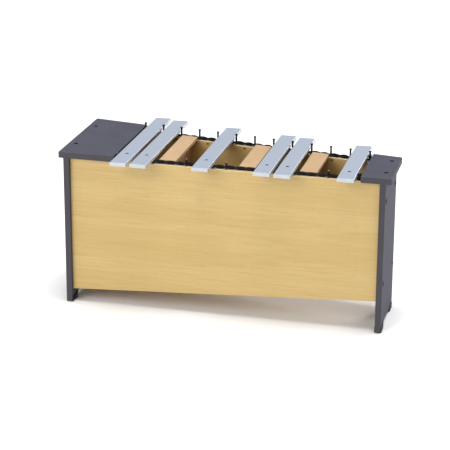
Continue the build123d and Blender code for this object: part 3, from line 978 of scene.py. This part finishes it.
def bar_tree():
    """One bar about its hole: a block, its scalloped underside and the hole through it."""
    tree, given = geometry_tree(
        "tone_bar",
        Hole_Place="Vector", Length="Float", Width="Float", Thickness="Float",
        Before_Hole="Float", Scallop_Share="Float", Scallop_Depth="Float", Hole_Radius="Float",
        Material="Material",
    )
    size = add(
        tree, "ShaderNodeCombineXYZ", X=given["Width"], Y=given["Length"], Z=given["Thickness"]
    )
    block = add(
        tree, "GeometryNodeMeshCube", Size=size.outputs[0],
        Vertices_X=2, Vertices_Y=121, Vertices_Z=2,
    )
    place = add(tree, "GeometryNodeInputPosition").outputs[0]
    spot = add(tree, "ShaderNodeSeparateXYZ", Vector=place).outputs
    scallop_length = reckon(tree, "MULTIPLY", given["Length"], given["Scallop Share"])
    off = reckon(tree, "DIVIDE", spot["Y"], reckon(tree, "MULTIPLY", scallop_length, 0.5))
    bow = reckon(tree, "SUBTRACT", 1.0, reckon(tree, "MULTIPLY", off, off))
    bow = reckon(tree, "MAXIMUM", bow, 0.0)
    below = reckon(tree, "LESS_THAN", spot["Z"], 0.0)
    raised = reckon(tree, "MULTIPLY", reckon(tree, "MULTIPLY", bow, given["Scallop Depth"]), below)
    lift = add(tree, "ShaderNodeCombineXYZ", Z=raised)
    cut = add(
        tree, "GeometryNodeSetPosition", Geometry=block.outputs["Mesh"], Offset=lift.outputs[0]
    )
    half_length = reckon(tree, "MULTIPLY", given["Length"], 0.5)
    from_hole = add(
        tree, "ShaderNodeCombineXYZ",
        Y=reckon(tree, "SUBTRACT", half_length, given["Before Hole"]),
        Z=reckon(tree, "MULTIPLY", given["Thickness"], -0.5),
    )
    laid = add(
        tree, "GeometryNodeTransform", Geometry=cut.outputs[0], Translation=from_hole.outputs[0]
    )
    drill = add(
        tree, "GeometryNodeMeshCylinder", Vertices=48, Radius=given["Hole Radius"],
        Depth=reckon(tree, "MULTIPLY", given["Thickness"], 4.0),
    )
    holed = add(
        tree, "GeometryNodeMeshBoolean", operation="DIFFERENCE", solver="EXACT",
        Mesh_1=laid.outputs[0], Mesh_2=drill.outputs["Mesh"],
    )
    # The faces of the hole's wall are marked, so that the aluminium paints them near black as
    # painted shade.
    flat = add(tree, "ShaderNodeCombineXYZ", X=spot["X"], Y=spot["Y"]).outputs[0]
    around_hole = reckon(tree, "MULTIPLY", given["Hole Radius"], 1.05)
    near_axis = reckon(tree, "LESS_THAN", arrow(tree, "LENGTH", flat), around_hole)
    normal = add(tree, "GeometryNodeInputNormal").outputs[0]
    slant = add(tree, "ShaderNodeSeparateXYZ", Vector=normal).outputs["Z"]
    upright = reckon(tree, "LESS_THAN", reckon(tree, "ABSOLUTE", slant), 0.5)
    marked = add(
        tree, "GeometryNodeStoreNamedAttribute", domain="FACE", Geometry=holed.outputs["Mesh"],
        Name="bored", Value=reckon(tree, "MULTIPLY", near_axis, upright),
    )
    put = add(
        tree, "GeometryNodeTransform", Geometry=marked.outputs[0],
        Translation=given["Hole Place"],
    )
    return close_tree(tree, given, put.outputs[0])


def aluminium():
    """Satin anodised aluminium, brushed along the bar, with faint marks from the hands, painted
    light on its sides and ends and painted shade on its hole walls.
    """
    material, tree, shader, place = paint("satin_aluminium")
    brushing = streaks(tree, place, (2400, 26, 2400), detail=4, rough=0.65)
    clouds = streaks(tree, place, (22, 9, 22), detail=4, rough=0.65)
    smears = ranged(tree, clouds, (0.35, 0.8), (0, 0.35))
    face = mixed(tree, brushing, tint(180, 191, 210), tint(197, 205, 220))
    # Sides and ends, the faces that turn away from Z, are painted a paler grey: painted light.
    painted_facing_shading = ranged(tree, slope(tree, "Z"), (0.5, 0.8), (1, 0))
    sides = mixed(tree, painted_facing_shading, face, tint(200, 202, 204))
    # The hole's wall is painted near black: painted shade.
    bored = add(tree, "ShaderNodeAttribute", attribute_name="bored").outputs["Fac"]
    tone = mixed(tree, bored, sides, tint(12, 13, 16))
    fine = ranged(tree, brushing, (0, 1), (0.34, 0.46))
    dress(
        tree, shader, brushing, strength=0.12, depth=0.00006,
        Base_Color=mixed(tree, smears, tone, tint(176, 188, 200)),
        Roughness=reckon(tree, "MULTIPLY_ADD", smears, 0.16, fine), Metallic=0.55,
    )
    return material


def break_edges(bar):
    """Rounds a bar's outer edges: widest along the top, finer at the ends and below."""
    shape = cleaned(bar.data, weld_gap / 2, flat_angle=0.02)
    weight = shape.edges.layers.float.new("bevel_weight_edge")
    walls = [[pick(v.co[n] for v in shape.verts) for n in range(3)] for pick in (min, max)]
    near = 2e-5

    def on_wall(edge, axis):
        """Whether the edge lies in either of the bar's outer walls across an axis."""
        return any(
            all(abs(vert.co[axis] - wall[axis]) < near for vert in edge.verts) for wall in walls
        )

    for edge in shape.edges:
        if not edge.is_manifold or edge.calc_face_angle() < math.radians(40):
            continue
        on_top = min(vert.co.z for vert in edge.verts) > walls[1][2] - near
        if on_top and on_wall(edge, 0):
            edge[weight] = 1
        elif on_wall(edge, 1):
            edge[weight] = end_round / top_round
        elif on_wall(edge, 0):
            edge[weight] = low_round / top_round
        else:
            edge.smooth = False
    round_edges(bar, shape, top_round, steps=4)


satin_aluminium = aluminium()
bars = bar_tree()
for note, scallop in scallops.items():
    node = f"bar_{note}"
    low, high = [Vector(corner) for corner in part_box(node)]
    along_row = ((low.x + high.x) / 2 - front_first.x) / (front_last.x - front_first.x)
    pin = front_first.lerp(front_last, along_row)
    bar = grow(
        f"tone_bar_{note}", bars, bpy.data.meshes.new("start"),
        Hole_Place=(pin.x, pin.y, high.z), Length=high.y - low.y, Width=high.x - low.x,
        Thickness=high.z - low.z, Before_Hole=pin.y - low.y, Scallop_Share=scallop_share,
        Scallop_Depth=scallop, Hole_Radius=hole_radius, Material=satin_aluminium,
    )
    break_edges(bar)
    fit(bar, node, node, satin_aluminium)
